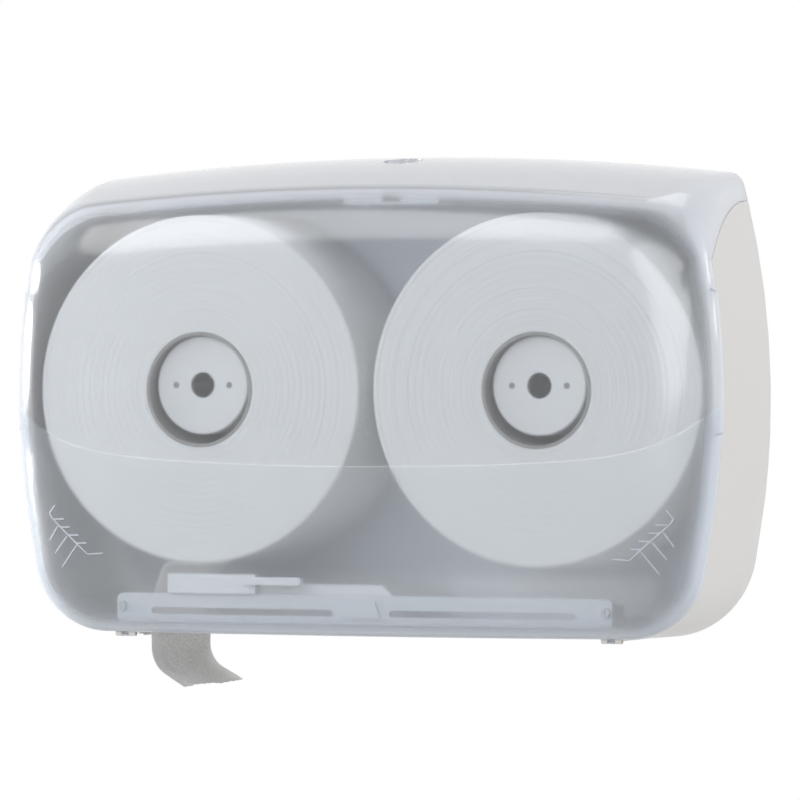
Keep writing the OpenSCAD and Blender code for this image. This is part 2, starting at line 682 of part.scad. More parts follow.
// ---- Web and tail of the left roll ----
// A path of runs [length, turn]: points with their heading, each run cut into steps
function walk(p, a, runs, k = 0) = k >= len(runs) ? [[p.x, p.y, a]] :
    let (n = runs[k][1] == 0 ? 1 : 6, l = runs[k][0] / n, t = runs[k][1] / n)
    concat(walk_steps(p, a, l, t, n, 0),
        let (q = walk_end(p, a, l, t, n)) walk([q.x, q.y], q.z, runs, k + 1));
function walk_steps(p, a, l, t, n, i) = i >= n ? [] :
    concat([[p.x, p.y, a]], walk_steps(p + l * [cos(a + t / 2), sin(a + t / 2)], a + t, l, t, n, i + 1));
function walk_end(p, a, l, t, n) = n == 0 ? [p.x, p.y, a] :
    walk_end(p + l * [cos(a + t / 2), sin(a + t / 2)], a + t, l, t, n - 1);
function arc_len(r, a) = r * abs(a) * PI / 180;

wrap_r = roll_r + 0.4 + web_t / 2;
wrap_from = -80;
wrap_turn = -19;
fall_turn = 79;
fall_r = 8;
plumb_turn = 20;
plumb_r = 30;
curl_turn = 60;
wrap_runs = [[arc_len(wrap_r, wrap_turn), wrap_turn], [arc_len(fall_r, fall_turn), fall_turn]];
tail_start = [-roll_x + wrap_r * cos(wrap_from), wrap_r * sin(wrap_from)];
after_fall = let (q = walk(tail_start, wrap_from - 90, wrap_runs)) q[len(q) - 1];
hang = after_fall.y - slant * cos(plumb_turn) - plumb_r * sin(plumb_turn) - floor_z + curl_drop;
tail_path = walk(tail_start, wrap_from - 90, concat(wrap_runs,
    [[slant, 0], [arc_len(plumb_r, plumb_turn), plumb_turn], [hang, 0],
     [arc_len(curl_r, curl_turn), curl_turn], [tail_end, 0]]));

module paper_tail() color([0.78, 0.77, 0.75]) from_wall(roll_d, roll_front) polygon(concat(
    [for (q = tail_path) [q.x, q.y] + web_t / 2 * [-sin(q.z), cos(q.z)]],
    [for (i = [len(tail_path) - 1:-1:0]) let (q = tail_path[i])
        [q.x, q.y] - web_t / 2 * [-sin(q.z), cos(q.z)]]));

// ---- Selector ----
module selector_plate() color([0.86, 0.87, 0.88]) {
    block(plate_x, plate_x + plate_w, groove_d + seat, carriage_back, plate_z, plate_z + plate_t);
    // Upright along its front, with a slanted end, and higher where the carriage is fixed to it
    from_wall(carriage_back - 2.4, carriage_back) polygon([[plate_x, plate_z + plate_t / 2],
        [plate_past, plate_z + plate_t / 2], [plate_past, rail_top + 1],
        [plate_past - upright_h, rail_top + upright_h], [carriage_x + carriage_w, rail_top + upright_h],
        [carriage_x + carriage_w, carriage_z + carriage_h - 3], [plate_x, carriage_z + carriage_h - 3]]);
}

module selector_carriage() color([0.9, 0.9, 0.91])
    across(carriage_x, carriage_x + carriage_w) polygon([[-carriage_back, carriage_z],
        [-carriage_back, carriage_z + carriage_h], [-carriage_back - carriage_d + 1.5, carriage_z + carriage_h],
        [-carriage_back - carriage_d, carriage_z + carriage_h - 1.5], [-carriage_back - carriage_d, carriage_z]]);

module selector_tab() color([0.84, 0.86, 0.88])
    from_wall(carriage_back + carriage_d, carriage_back + carriage_d + tab_reach)
        slot_round(tab_x, tab_x + tab_w, carriage_z + carriage_h - tab_h / 2 - 1.5, tab_h);

// ---- Front cover ----
module front_cover() color([0.72, 0.77, 0.83, 0.45]) difference() {
    union() {
        difference() {
            loft([for (i = [0:half_count - 1]) cover_profile(i)], len(cover_rows) + n_round);
            behind_parting();
            // Room for the shell's knuckles
            for (s = [-1, 1], v = [-1, 1])
                let (x = s * hinge_x + v * (knuckle_w + knuckle_gap))
                block(x - knuckle_w / 2 - knuckle_gap, x + knuckle_w / 2 + knuckle_gap,
                    part_d - 1, hinge_d + knuckle_r + 0.6, hinge_z - 5, hinge_z + cover_t + 1);
        }
        for (s = [-1, 1]) rod_x(hinge_d, hinge_z, knuckle_r, s * hinge_x - knuckle_w / 2,
            s * hinge_x + knuckle_w / 2);
        // Cup round the lock's recess, ending within the sloping top
        intersection() {
            rod_z(0, lock_d, pad_r, pad_low, top_h);
            across(-pad_r - 1, pad_r + 1) polygon(concat(
                [for (d = [lock_d - 20:4:lock_d + 20]) [-d, top_z(d) - cover_t / 2]],
                [[-lock_d - 20, pad_low - 1], [-lock_d + 20, pad_low - 1]]));
        }
    }
    for (s = [-1, 1]) rod_x(hinge_d, hinge_z, pin_dia / 2 + 0.2, s * hinge_x - hinge_w, s * hinge_x + hinge_w);
    rod_z(0, lock_d, lock_dia / 2 + fit, body_low - 5, pad_z + 5);
    rod_z(0, lock_d, recess_dia / 2, pad_z, top_h + 5);
}

// ---- Lock ----
module lock_body() color([0.75, 0.76, 0.78]) difference() {
    union() {
        rod_z(0, lock_d, lock_dia / 2, body_low, pad_z);
        rod_z(0, lock_d, lock_dia / 2 + 2, pad_z, pad_z + 1.2);
    }
    rod_z(0, lock_d, barrel_dia / 2 + fit, body_low - 1, pad_z + 3);
}

module lock_nut() color([0.7, 0.71, 0.73])
    translate([0, -lock_d, pad_low - fit - nut_t]) difference() {
        linear_extrude(nut_t) circle(lock_dia / 2 + 4.5, $fn = 6);
        translate([0, 0, -1]) cylinder(r = lock_dia / 2 + fit, h = nut_t + 2);
    }

module lock_barrel() color([0.7, 0.68, 0.62]) difference() {
    union() {
        rod_z(0, lock_d, barrel_dia / 2, body_low - 0.5, pad_z + 1);
        rod_z(0, lock_d, cam_t / 2 - 0.5, cam_z + cam_thick, body_low - 0.5);
    }
    // Key slot, and the hole for the cam's screw
    block(-3.5, 3.5, lock_d - 0.6, lock_d + 0.6, pad_z - 5, pad_z + 3);
    rod_z(0, lock_d, 1.6, cam_z - 1, cam_z + cam_thick + 6);
}

module lock_cam() color([0.66, 0.67, 0.69]) difference() {
    block(-cam_t / 2, cam_t / 2, lock_d - cam_w / 2, lock_d + cam_w / 2, cam_z, cam_z + cam_thick);
    rod_z(0, lock_d, 1.6, cam_z - 1, cam_z + cam_thick + 1);
}

module cam_screw() color([0.6, 0.61, 0.63]) {
    rod_z(0, lock_d, 1.5, cam_z, cam_z + cam_thick + 5);
    rod_z(0, lock_d, 2.8, cam_z - 1.4, cam_z);
}

module lock_strike() color([0.85, 0.86, 0.87]) difference() {
    block(-strike_x, strike_x, strike_back, rim_d, strike_low, strike_top);
    // Room in which the cam turns, and the way out for its stem
    block(-cam_w / 2 - 3, cam_w / 2 + 3, strike_back + strike_t, rim_d - strike_t,
        strike_low + strike_t, strike_top + 1);
    block(-slot_half, slot_half, rim_d - 2 * strike_t, rim_d + 1, strike_low + strike_t, strike_top + 1);
    for (s = [-1, 1]) rod_z(s * strike_screw_x, strike_screw_d, rail_screw / 2 + fit,
        strike_low - 1, strike_top + 1);
}

module strike_screws() color([0.6, 0.61, 0.63]) for (s = [-1, 1]) {
    rod_z(s * strike_screw_x, strike_screw_d, rail_screw / 2, strike_low, rim_z - 1);
    rod_z(s * strike_screw_x, strike_screw_d, rail_screw, strike_low - 1.8, strike_low);
}

module top_bumper(s) color([0.3, 0.31, 0.33]) {
    rod_z(s * bumper_x, bumper_d, bumper_r, bumper_top(0.5) - bumper_h, bumper_top(0.5));
    rod_z(s * bumper_x, bumper_d, bumper_r / 2, bumper_top(0.5), bumper_top(0) + 3);
}

rear_shell();
hinge_pin(-1);  // hinge_pin_left
hinge_pin(1);  // hinge_pin_right
outlet_rail();
rail_screws();
rear_guide();
guide_screws();
tear_bar(-1);  // tear_bar_left
tear_bar(1);  // tear_bar_right
tear_bar_screws();
union() { hub_drum(-1); hub_posts(-1); }  // hub_drum_left
union() { hub_drum(1); hub_posts(1); }  // hub_drum_right
hub_face(-1);  // hub_face_left
hub_face(1);  // hub_face_right
hub_rivets(-1);  // hub_rivets_left
hub_rivets(1);  // hub_rivets_right
hub_bolt(-1);  // hub_bolt_left
hub_bolt(1);  // hub_bolt_right
lock_strike();
strike_screws();
top_bumper(-1);  // top_bumper_left
top_bumper(1);  // top_bumper_right
paper_tail();
core(-1);  // core_left
core(1);  // core_right
paper_roll(-1);  // paper_roll_left
paper_roll(1);  // paper_roll_right
selector_plate();
selector_carriage();
selector_tab();
front_cover();
lock_body();
lock_nut();
lock_barrel();
lock_cam();
cam_screw();
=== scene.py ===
"""A wall-hung dispenser for two large toilet rolls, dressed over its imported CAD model."""

import math

import bmesh
import bpy
from mathutils import Matrix, Vector
from mathutils.bvhtree import BVHTree


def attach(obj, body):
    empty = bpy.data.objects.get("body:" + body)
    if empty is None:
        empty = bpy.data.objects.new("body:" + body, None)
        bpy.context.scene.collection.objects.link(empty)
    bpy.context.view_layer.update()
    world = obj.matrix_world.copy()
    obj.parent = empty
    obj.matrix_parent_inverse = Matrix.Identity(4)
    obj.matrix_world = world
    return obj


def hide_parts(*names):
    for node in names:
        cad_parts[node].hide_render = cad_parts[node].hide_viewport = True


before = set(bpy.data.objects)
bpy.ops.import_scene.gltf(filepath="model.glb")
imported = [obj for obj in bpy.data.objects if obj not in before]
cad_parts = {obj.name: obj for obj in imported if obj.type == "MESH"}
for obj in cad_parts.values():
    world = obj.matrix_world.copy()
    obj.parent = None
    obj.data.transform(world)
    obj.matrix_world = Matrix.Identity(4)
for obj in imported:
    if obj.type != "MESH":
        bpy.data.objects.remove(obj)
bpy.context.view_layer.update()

# Sizes of the CAD model that new pieces share, in metres
ROLL_X = 0.12
ROLL_R = 0.115
ROLL_BACK, ROLL_FRONT = -0.008, -0.103
PAPER_W = ROLL_BACK - ROLL_FRONT
CORE_OUT = 0.038
WEB_T = 0.0006

# Half width, half height and middle height of the case's inside, and where its lip begins
INSIDE_X, INSIDE_Z, INSIDE_MID = 0.237, 0.145, -0.012
LIP_BACK, LIP_FRONT = -0.084, -0.098


# ---------------------------------------------------------------- shader maths
class Value:
    """A shader socket; Python's operators on it add Math nodes."""

    def __init__(self, finish, socket):
        self.finish, self.socket = finish, socket

    def maths(self, operation, *others):
        return self.finish.node("ShaderNodeMath", {"operation": operation}, dict(enumerate((self, *others))))

    def __add__(self, other):
        return self.maths("ADD", other)

    def __sub__(self, other):
        return self.maths("SUBTRACT", other)

    def __mul__(self, other):
        return self.maths("MULTIPLY", other)

    def __rsub__(self, other):
        return self.finish.node("ShaderNodeMath", {"operation": "SUBTRACT"}, {0: other, 1: self})

    def __abs__(self):
        return self.maths("ABSOLUTE")

    __radd__, __rmul__ = __add__, __mul__

    def ramp(self, low, high):
        """0 at low, 1 at high and smooth between; low may be the larger."""
        if low > high:
            return 1 - self.ramp(high, low)
        return self.finish.node("ShaderNodeMapRange", {"interpolation_type": "SMOOTHSTEP"},
                                {"Value": self, "From Min": low, "From Max": high})


class Finish:
    """A material that is built up node by node on a Principled shader."""

    def __init__(self, name, **fixed):
        self.material = bpy.data.materials.new(name)
        self.material.use_nodes = True
        self.tree = self.material.node_tree
        self.shader = self.tree.nodes["Principled BSDF"]
        self.output = self.tree.nodes["Material Output"]
        for socket, value in fixed.items():
            self.shader.inputs[socket.replace("_", " ").title().replace("Ior", "IOR")].default_value = value
        self.coordinates = self.tree.nodes.new("ShaderNodeTexCoord")
        self.place = self.coordinate("Object")

    def coordinate(self, name):
        return Value(self, self.coordinates.outputs[name])

    def node(self, kind, settings=None, inputs=None, output=0):
        made = self.tree.nodes.new(kind)
        for name, value in (settings or {}).items():
            setattr(made, name, value)
        for name, value in (inputs or {}).items():
            self.feed(made.inputs[name], value)
        return Value(self, made.outputs[output])

    def feed(self, socket, value):
        if isinstance(value, Value):
            self.tree.links.new(value.socket, socket)
        else:
            socket.default_value = value

    def set(self, **inputs):
        for name, value in inputs.items():
            self.feed(self.shader.inputs[name.replace("_", " ")], value)

    def xyz(self, vector=None):
        split = self.tree.nodes.new("ShaderNodeSeparateXYZ")
        self.tree.links.new((vector or self.place).socket, split.inputs[0])
        return [Value(self, out) for out in split.outputs]

    def noise(self, scale, detail=3.0, rough=0.5, vector=None):
        return self.node("ShaderNodeTexNoise", {"noise_dimensions": "3D"},
                         {"Vector": vector or self.place, "Scale": scale, "Detail": detail,
                          "Roughness": rough})

    def bands(self, along, detail, rough=0.5):
        """Noise that changes along one measure only."""
        return self.node("ShaderNodeTexNoise", {"noise_dimensions": "1D"},
                         {"W": along, "Detail": detail, "Roughness": rough})

    def stretched(self, scale):
        return self.node("ShaderNodeMapping", {}, {"Vector": self.place, "Scale": scale})

    def colour(self, factor, low, high):
        low, high = [c if isinstance(c, Value) else (*c, 1) for c in (low, high)]
        return self.node("ShaderNodeMix", {"data_type": "RGBA"}, {0: factor, 6: low, 7: high}, 2)

    def bump(self, height, distance):
        return self.node("ShaderNodeBump", {}, {"Height": height, "Distance": distance, "Strength": 1.0})

    def mixed(self, factor, first, second):
        return self.node("ShaderNodeMixShader", {}, {0: factor, 1: first, 2: second})


# ---------------------------------------------------------------- finishes
def shell_plastic():
    """Warm white moulded plastic with a fine spark-eroded grain, and painted shade within the case that makes
    it cooler and greyer there.
    """
    f = Finish("shell plastic", roughness=0.36, specular_ior_level=0.5)
    cloud, grain = f.noise(9), f.noise(1400, 2)
    x, y, z = f.xyz()
    wide = x * x * (1 / INSIDE_X ** 2)
    high = (z - INSIDE_MID) * (z - INSIDE_MID) * (1 / INSIDE_Z ** 2)
    # Painted shade: the back panel and inner walls within the case get a cooler, darker grey in place of the
    # shade that falls there.
    inside_shade = (wide * wide + high * high).ramp(1.04, 0.94) * y.ramp(LIP_FRONT, LIP_BACK)
    outer = f.colour(cloud, (0.80, 0.785, 0.765), (0.84, 0.83, 0.815))
    f.set(Base_Color=f.colour(inside_shade, outer, (0.56, 0.59, 0.64)), Roughness=0.3 + 0.14 * f.noise(60),
          Normal=f.bump(grain, 0.00006))
    return f.material


def cover_plastic(name, haze):
    """Frosted clear plastic: milkier below its crease, on its rounding and where it is seen flat."""
    f = Finish(name, roughness=0.3, transmission_weight=1.0, ior=1.45)
    x, _, z = f.xyz()
    wide = x * x
    crease = 2000 * wide * wide * wide * wide + 0.18 * wide - 0.050
    below = (z - crease).ramp(0.0008, -0.0008)
    f.set(Base_Color=f.colour(f.noise(14, 2), (0.87, 0.89, 0.91), (0.89, 0.91, 0.93)),
          Roughness=0.14 + 0.1 * below, Normal=f.bump(below, 0.00025))

    milk_colour = f.colour(below, (0.90, 0.92, 0.96), (0.86, 0.91, 0.98))
    milk = f.node("ShaderNodeBsdfDiffuse", {}, {"Color": milk_colour})
    glow = f.node("ShaderNodeBsdfTranslucent", {}, {"Color": (0.78, 0.83, 0.95, 1)})
    _, ahead, up = f.xyz(f.coordinate("Normal"))
    rounding = (ahead * ahead).ramp(0.97, 0.5)
    flat = f.node("ShaderNodeLayerWeight", {}, {"Blend": 0.5}, 1).ramp(0.45, 0.92)
    frosted = f.mixed(haze + 0.05 * below + 0.54 * rounding + 0.3 * flat,
                      Value(f, f.shader.outputs[0]), f.mixed(0.15, milk, glow))

    sheen = f.node("ShaderNodeBsdfAnisotropic", {}, {"Color": (1, 1, 1, 1), "Roughness": 0.07})
    polished = f.mixed(f.node("ShaderNodeFresnel", {}, {"IOR": 1.5}) - 0.03, frosted, sheen)

    # Lamps shine through, dimmed, but hardly through the top
    shade = f.node("ShaderNodeBsdfTransparent", {}, {"Color": (0.755, 0.77, 0.79, 1)})
    shadow_ray = f.node("ShaderNodeLightPath", {}, {}, "Is Shadow Ray")
    final = f.mixed(shadow_ray * (1 - 0.95 * up.ramp(0.3, 0.8)), polished, shade)
    f.feed(f.output.inputs["Surface"], final)
    return f.material


def roll_paper():
    """Wound tissue: windings on the faces, embossed dimples round the outside."""
    f = Finish("wound tissue", roughness=0.9, sheen_weight=0.15, specular_ior_level=0.15)
    x, y, z = f.xyz()
    across = abs(x) - ROLL_X
    radius = (across * across + z * z).maths("SQRT")
    face = abs(y - (ROLL_FRONT + ROLL_BACK) / 2).ramp(0.0440, 0.0472)
    windings = f.bands(radius * 160, 6.0, 0.7)
    arcs = windings.ramp(0.52, 0.66) * f.noise(7, 2).ramp(0.35, 0.65)
    fluff = f.noise(900, 3)
    dimples = f.node("ShaderNodeTexVoronoi", {}, {"Vector": f.place, "Scale": 330.0})
    f.set(Base_Color=f.colour(arcs * face * 0.75 + 0.1 * fluff, (0.90, 0.90, 0.89), (0.74, 0.75, 0.76)),
          Normal=f.bump(windings * face * 0.5 + dimples * (1 - face) * 0.5 + fluff * 0.12, 0.0011))
    return f.material


def tail_tissue():
    """Single embossed sheet, greyish, with a smooth lighter margin on its front edge."""
    f = Finish("tissue sheet", roughness=0.92, sheen_weight=0.2, specular_ior_level=0.1)
    sheet = f.coordinate("UV")
    across, _, _ = f.xyz(sheet)
    spots = f.node("ShaderNodeTexVoronoi", {}, {"Vector": sheet, "Scale": 420.0})
    margin = across.ramp(0.013, 0.008)
    crinkle = f.noise(120, 5, 0.6)
    shade = crinkle * 0.6 + spots * 0.5
    f.set(Base_Color=f.colour(shade * (1 - 0.7 * margin), (0.97, 0.96, 0.945), (0.91, 0.90, 0.885)),
          Normal=f.bump(spots * (1 - margin) * 0.6 + crinkle, 0.0009))
    return f.material


def moulded(name, low, high, roughness=0.4):
    """Plain moulded plastic with faint flow marks."""
    f = Finish(name, roughness=roughness)
    flow = f.noise(1, 4, 0.6, f.stretched((20, 60, 20)))
    f.set(Base_Color=f.colour(flow, low, high), Roughness=roughness - 0.06 + 0.14 * flow,
          Normal=f.bump(f.noise(900, 2), 0.00005))
    return f.material


def drawn_steel():
    """Plain steel with drawing marks along the depth."""
    f = Finish("drawn steel", metallic=1.0, roughness=0.32)
    marks = f.noise(1, 4, 0.6, f.stretched((1500, 40, 1500)))
    stain = f.noise(80, 4)
    f.set(Base_Color=f.colour(stain, (0.50, 0.51, 0.52), (0.66, 0.66, 0.67)),
          Roughness=0.22 + 0.25 * marks, Normal=f.bump(marks, 0.00004))
    return f.material


def dark_rivet():
    """Burnished rivet heads, duller than the screws."""
    f = Finish("burnished rivet", metallic=1.0, roughness=0.5)
    marks = f.noise(700, 4)
    f.set(Base_Color=f.colour(marks, (0.16, 0.17, 0.18), (0.28, 0.29, 0.30)), Roughness=0.4 + 0.2 * marks)
    return f.material


def plated_lock():
    """Satin plating with turning rings and handling marks round the keyhole."""
    f = Finish("lock plating", metallic=1.0, roughness=0.25)
    x, y, _ = f.xyz()
    away = y + 0.04
    rings = f.bands((x * x + away * away).maths("SQRT") * 3000, 2.0)
    marks = f.noise(400, 4)
    f.set(Base_Color=f.colour(marks, (0.60, 0.60, 0.61), (0.76, 0.76, 0.77)),
          Roughness=0.16 + 0.16 * marks, Normal=f.bump(rings, 0.00003))
    return f.material


def soft_rubber():
    """Dark rubber with dust on it."""
    f = Finish("bumper rubber", roughness=0.7)
    dust = f.noise(200, 4)
    f.set(Base_Color=f.colour(dust, (0.09, 0.09, 0.1), (0.16, 0.16, 0.17)), Normal=f.bump(dust, 0.0001))
    return f.material


def core_board():
    """Spiral-wound grey board with its fibres."""
    f = Finish("core board", roughness=0.85, specular_ior_level=0.2)
    fibres = f.noise(1, 5, 0.65, f.stretched((400, 90, 400)))
    f.set(Base_Color=f.colour(fibres, (0.30, 0.29, 0.28), (0.40, 0.39, 0.38)), Normal=f.bump(fibres, 0.00025))
    return f.material


# ---------------------------------------------------------------- pieces
def placed(name, work):
    """The object of a finished bmesh, linked into the scene."""
    mesh = bpy.data.meshes.new(name)
    work.to_mesh(mesh)
    work.free()
    made = bpy.data.objects.new(name, mesh)
    bpy.context.scene.collection.objects.link(made)
    return made


def finished(name, work, body, material, nodes, sharp):
    """Makes the piece's object, smooth except at its sharp edges, and lets it ride on a body."""
    for edge in work.edges:
        edge.smooth = len(edge.link_faces) == 2 and edge.calc_face_angle(0) < math.radians(sharp)
    for face in work.faces:
        face.smooth = True
    piece = placed(name, work)
    piece.data.materials.append(material)
    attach(piece, body)
    if nodes:
        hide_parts(*nodes)
    return piece


def merged_copy(node):
    """The CAD node's triangles, merged into one surface."""
    work = bmesh.new()
    work.from_mesh(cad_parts[node].data)
    bmesh.ops.remove_doubles(work, verts=work.verts, dist=0.000005)
    return work


WINDING_PITCH = 0.00125
RIM_R = 0.0016


def wound_roll(side, material):
    """One roll: a profile with rounded edges and slightly stepped windings, spun round its axis."""
    work = bmesh.new()
    rim, first = ROLL_R - RIM_R, CORE_OUT + 0.0002
    windings = [first + i * WINDING_PITCH for i in range(int((rim - 0.0005 - first) / WINDING_PITCH) + 1)]

    def step(radius, seed):
        return 0.00016 * (1 + math.sin(radius * 2900 + seed) * math.sin(radius * 731 + 2 * seed))

    front = [(r, ROLL_FRONT + step(r, 1)) for r in windings]
    back = [(r, ROLL_BACK - step(r, 2)) for r in reversed(windings)]
    bead = [math.radians(a) for a in (80, 60, 40, 20, 5)]
    front_rim = [(rim + RIM_R * math.cos(a), ROLL_FRONT + RIM_R * (1 - math.sin(a))) for a in bead]
    back_rim = [(rim + RIM_R * math.cos(a), ROLL_BACK - RIM_R * (1 - math.sin(a))) for a in reversed(bead)]
    outline = [work.verts.new((r, y, 0)) for r, y in (*front, *front_rim, *back_rim, *back)]
    edges = [work.edges.new(pair) for pair in zip(outline, outline[1:] + outline[:1])]
    bmesh.ops.spin(work, geom=outline + edges, cent=(0, 0, 0), axis=(0, 1, 0), angle=math.tau,
                   steps=200, use_merge=True, use_normal_flip=False)
    bmesh.ops.remove_doubles(work, verts=work.verts, dist=0.000002)
    bmesh.ops.recalc_face_normals(work, faces=work.faces)
    bmesh.ops.translate(work, verts=work.verts, vec=(side * ROLL_X, 0, 0))
    word = "left" if side < 0 else "right"
    finished(f"wound_roll_{word}", work, f"{word}_roll", material, (f"paper_roll_{word}",), 50)


# The tail's route: where it starts on the roll and its heading there, the plumb line that it
# hangs on, the height at which its end begins to curl, and the radii of its bends
TAIL_START, TAIL_HEADING = math.radians(-80), -170
PLUMB_X, CURL_Z = -0.155, -0.171
FALL_R, PLUMB_R, CURL_R = 0.008, 0.03, 0.02
PLUMB_TURN = 20
TORN_RUN = 0.016


def walk(start, heading, runs, pace=0.0025):
    """Points (x, z, heading) along straight and turning runs."""
    x, z, points = *start, [(*start, heading)]
    for length, turn in runs:
        count = max(1, math.ceil(length / pace))
        for _ in range(count):
            middle = math.radians(heading + turn / count / 2)
            x, z = x + length / count * math.cos(middle), z + length / count * math.sin(middle)
            heading += turn / count
            points.append((x, z, heading))
    return points


def tail_route():
    """Runs of the web from the roll's underside to its torn end: (length, turn in degrees)."""
    def bend(radius, turn):
        return radius * math.radians(abs(turn)), turn

    wrap_r, lean = ROLL_R + 0.0004 + WEB_T / 2, math.radians(PLUMB_TURN)
    start = (-ROLL_X + wrap_r * math.cos(TAIL_START), wrap_r * math.sin(TAIL_START))
    runs = [bend(wrap_r, -19), bend(FALL_R, 79)]
    x, z, _ = walk(start, TAIL_HEADING, runs)[-1]
    slant = (x - PLUMB_R * (1 - math.cos(lean)) - PLUMB_X) / math.sin(lean)
    hang = z - slant * math.cos(lean) - PLUMB_R * math.sin(lean) - CURL_Z
    runs += [(slant, 0), bend(PLUMB_R, PLUMB_TURN), (hang, 0), bend(CURL_R, 60), (TORN_RUN, 0)]
    return start, runs


def paper_tail(material):
    """The loose web: one row of edges, extruded along its route, with soft ripples and a torn end."""
    start, runs = tail_route()
    route = walk(start, TAIL_HEADING, runs)
    across = 38
    work = bmesh.new()
    uv = work.loops.layers.uv.new("sheet")
    row = [work.verts.new((route[0][0], ROLL_FRONT + PAPER_W * i / across, route[0][1]))
           for i in range(across + 1)]
    edges = [work.edges.new(pair) for pair in zip(row, row[1:])]
    along = {v: 0.0 for v in row}
    for k, ((x0, z0, _), (x1, z1, _)) in enumerate(zip(route, route[1:])):
        made = bmesh.ops.extrude_edge_only(work, edges=edges)["geom"]
        row = [v for v in made if isinstance(v, bmesh.types.BMVert)]
        edges = [e for e in made if isinstance(e, bmesh.types.BMEdge)]
        bmesh.ops.translate(work, verts=row, vec=(x1 - x0, 0, z1 - z0))
        along.update({v: (k + 1) / (len(route) - 1) for v in row})
    length = sum(run[0] for run in runs)

    loose_from, torn_from = 0.62, 0.97
    for vert in work.verts:
        t, w = along[vert], (vert.co.y - ROLL_FRONT) / PAPER_W
        loose = max(0.0, (t - loose_from) / (1 - loose_from))
        heading = math.radians(route[round(t * (len(route) - 1))][2])
        out = Vector((-math.sin(heading), 0, math.cos(heading)))
        wave = math.sin(w * 9.5 + t * 11) * 0.5 + math.sin(w * 23 - t * 17 + 1) * 0.22
        vert.co += out * wave * 0.0010 * loose
        if t > torn_from:
            torn = math.sin(w * 61) * 0.5 + math.sin(w * 149 + 2) * 0.3 + math.sin(w * 333) * 0.2
            onward = Vector((math.cos(heading), 0, math.sin(heading)))
            vert.co += onward * torn * 0.0006 * (t - torn_from) / (1 - torn_from)
    for face in work.faces:
        for loop in face.loops:
            loop[uv].uv = (loop.vert.co.y - ROLL_FRONT, along[loop.vert] * length)
    tail = finished("paper_tail_sheet", work, "case", material, ("paper_tail",), 60)
    thick = tail.modifiers.new("tissue thickness", "SOLIDIFY")
    thick.thickness, thick.offset = 0.00035, 0


# The moulded rib figure in the cover's left lower corner, in pixels of the 800 x 800 photo, and
# the depth at which they are taken to lie: a bent spine, level barbs and slanting barbs
RIB_SPINE = [(55, 505), (49, 513), (52, 518), (89, 554), (105, 553)]
RIB_LEVEL = [((54, 519), (65, 519)), ((60, 527), (71, 527)), ((69, 535), (80, 535)), ((77, 543), (88, 543))]
RIB_SLANTING = [((58, 526), (49, 540)), ((68, 536), (55, 553)), ((78, 545), (62, 567))]
RIB_Y = -0.121
# Section of a bar: across it, and out of the cover's face
BAR_SECTION = [(-0.00055, -0.0005), (0.00055, -0.0005), (0.0004, 0.0003), (-0.0004, 0.0003)]
BAR_STEPS = 6


def rib_figure(side, surface, material):
    """The rib figure of one lower corner: thin rounded bars that follow the cover's outside."""
    work = bmesh.new()
    for start, end in [*zip(RIB_SPINE, RIB_SPINE[1:]), *RIB_LEVEL, *RIB_SLANTING]:
        (x0, z0), (x1, z1) = seen_at(start, RIB_Y), seen_at(end, RIB_Y)
        ring = None
        for i in range(BAR_STEPS + 1):
            x, z = x0 + (x1 - x0) * i / BAR_STEPS, z0 + (z1 - z0) * i / BAR_STEPS
            hit, normal, _, _ = surface.ray_cast(Vector((-side * x, -0.3, z)), Vector((0, 1, 0)))
            along = Vector((-side * (x1 - x0), 0, z1 - z0)).normalized()
            wide = along.cross(normal).normalized()
            taper = 0.6 if i in (0, BAR_STEPS) else 1.0
            made = [work.verts.new(hit + wide * a * taper + normal * b) for a, b in BAR_SECTION]
            edges = [work.edges.new((made[k], made[(k + 1) % 4])) for k in range(4)]
            if ring:
                bmesh.ops.bridge_loops(work, edges=ring + edges)
            if i in (0, BAR_STEPS):
                work.faces.new(made)
            ring = edges
    bmesh.ops.recalc_face_normals(work, faces=work.faces)
    word = "left" if side < 0 else "right"
    finished(f"rib_figure_{word}", work, "cover", material, (), 50)


def dress(material, *nodes):
    """Gives CAD nodes, kept as they are, their finish."""
    for name in nodes:
        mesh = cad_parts[name].data
        mesh.materials.clear()
        mesh.materials.append(material)


# ---------------------------------------------------------------- camera
AZIMUTH, PITCH, FAR = math.radians(22.85), math.radians(0.40), 4.8
TARGET = Vector((0.0059, -0.060, -0.0068))
SENSOR_W = 36.0
PHOTO_W = 800
FOCAL_PIXELS = 7268
FOCAL_SHARE = FOCAL_PIXELS / PHOTO_W


def view_axes():
    """The camera's directions: ahead, to its right and up."""
    level = math.cos(PITCH)
    ahead = Vector((-math.sin(AZIMUTH) * level, math.cos(AZIMUTH) * level, -math.sin(PITCH)))
    right = Vector((math.cos(AZIMUTH), math.sin(AZIMUTH), 0))
    return ahead, right, right.cross(ahead)


def seen_at(pixel, y):
    """The place (x, z) at the depth y behind a pixel, to a tenth of a millimetre."""
    ahead, right, up = view_axes()
    across, down = [(place - PHOTO_W / 2) / FOCAL_PIXELS for place in pixel]
    ray = ahead + right * across - up * down
    eye = TARGET - ahead * FAR
    hit = eye + ray * ((y - eye.y) / ray.y)
    return round(hit.x, 4), round(hit.z, 4)


def camera():
    ahead = view_axes()[0]
    data = bpy.data.cameras.new("camera")
    data.sensor_width, data.lens, data.clip_end = SENSOR_W, SENSOR_W * FOCAL_SHARE, 50
    eye = bpy.data.objects.new("camera", data)
    turn = ahead.to_track_quat("-Z", "Y").to_matrix().to_4x4()
    eye.matrix_world = Matrix.Translation(TARGET - ahead * FAR) @ turn
    bpy.context.scene.collection.objects.link(eye)
    bpy.context.scene.camera = eye


